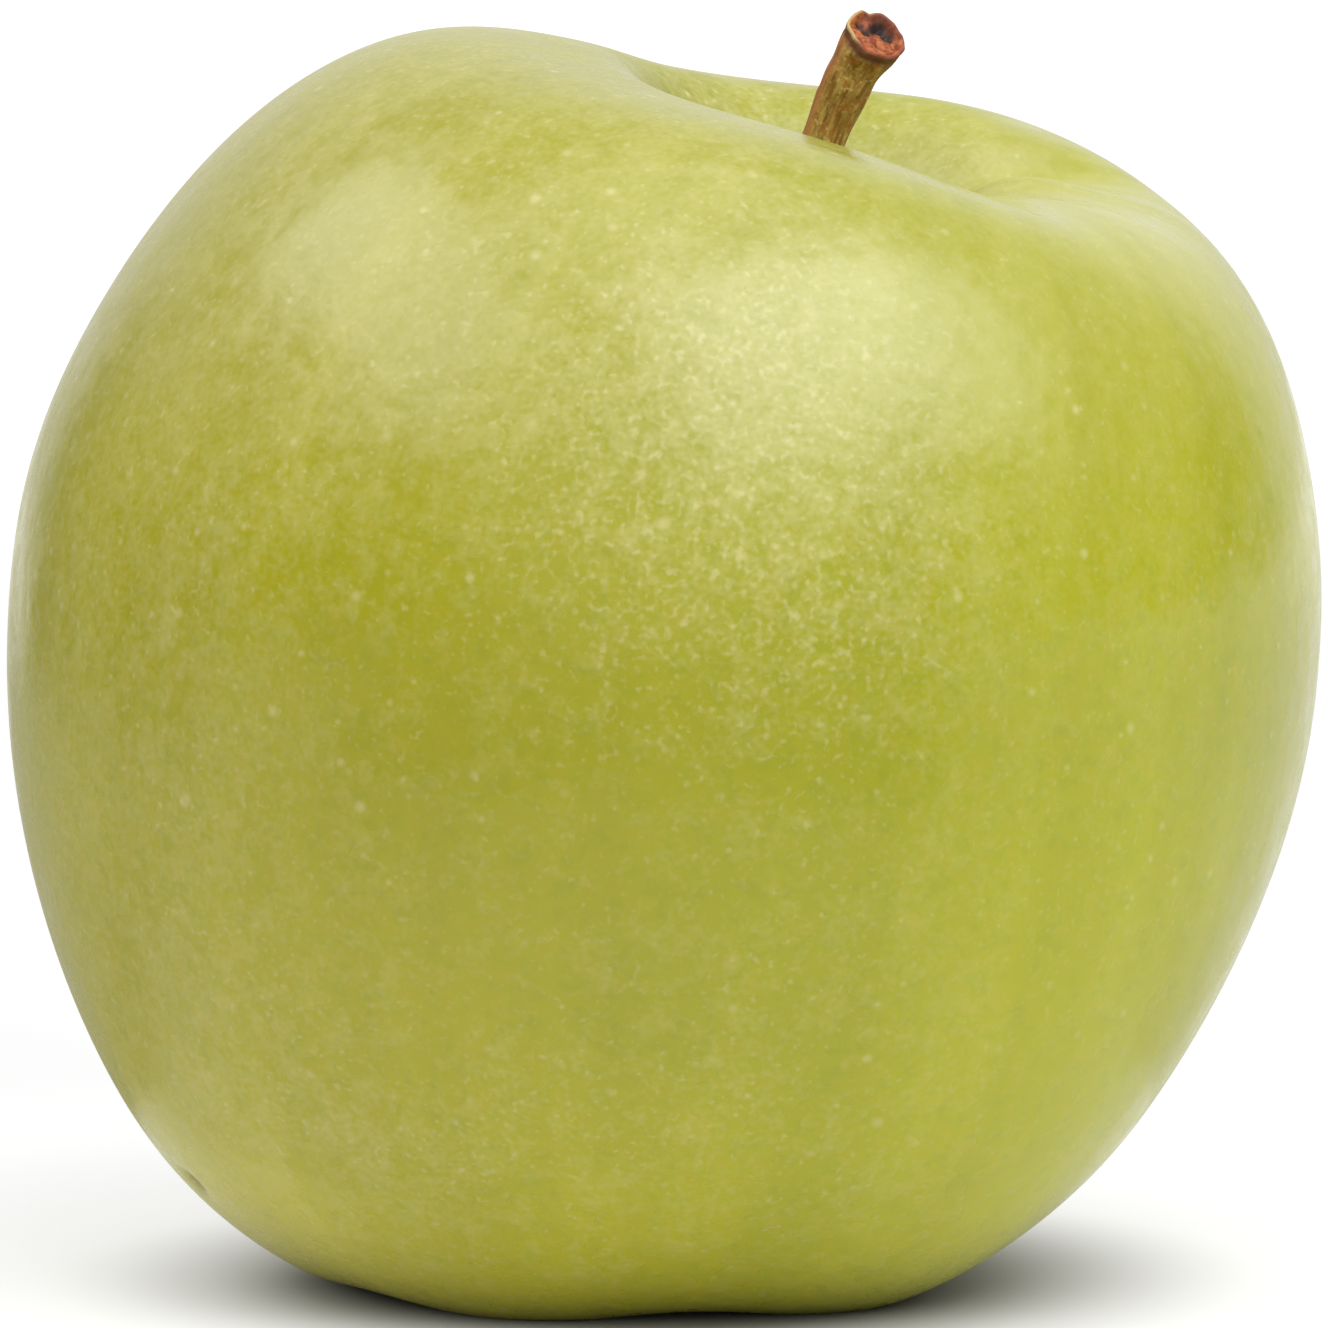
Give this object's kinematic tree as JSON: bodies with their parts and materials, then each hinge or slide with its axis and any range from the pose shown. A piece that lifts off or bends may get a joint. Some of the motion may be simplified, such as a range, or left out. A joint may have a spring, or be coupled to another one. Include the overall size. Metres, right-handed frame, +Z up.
{
  "type": "green apple",
  "caption": "Whole fresh green apple with a leaning crown, a woody stem in its cavity and the dried flower in its base, standing on its own base.",
  "frame": {"origin": "on the surface that the apple stands on, under the middle of the whole apple", "axes": "+Z up; +X the side that the crown and the stem lean toward; the front, seen in the picture, faces -Y"},
  "size_m": [0.0795, 0.079, 0.0773],
  "materials": {
    "skin": "waxy satin apple skin, yellow green with pale flecks",
    "stem_bark": "dry olive brown bark with lengthwise streaks",
    "dried_sepal": "dry matt, felted",
    "dried_stamen": "dry matt"
  },
  "bodies": {
    "root": {"fruit": "skin", "stem": "stem_bark", "sepals": "dried_sepal", "stamens": "dried_stamen"}
  },
  "joints": []
}
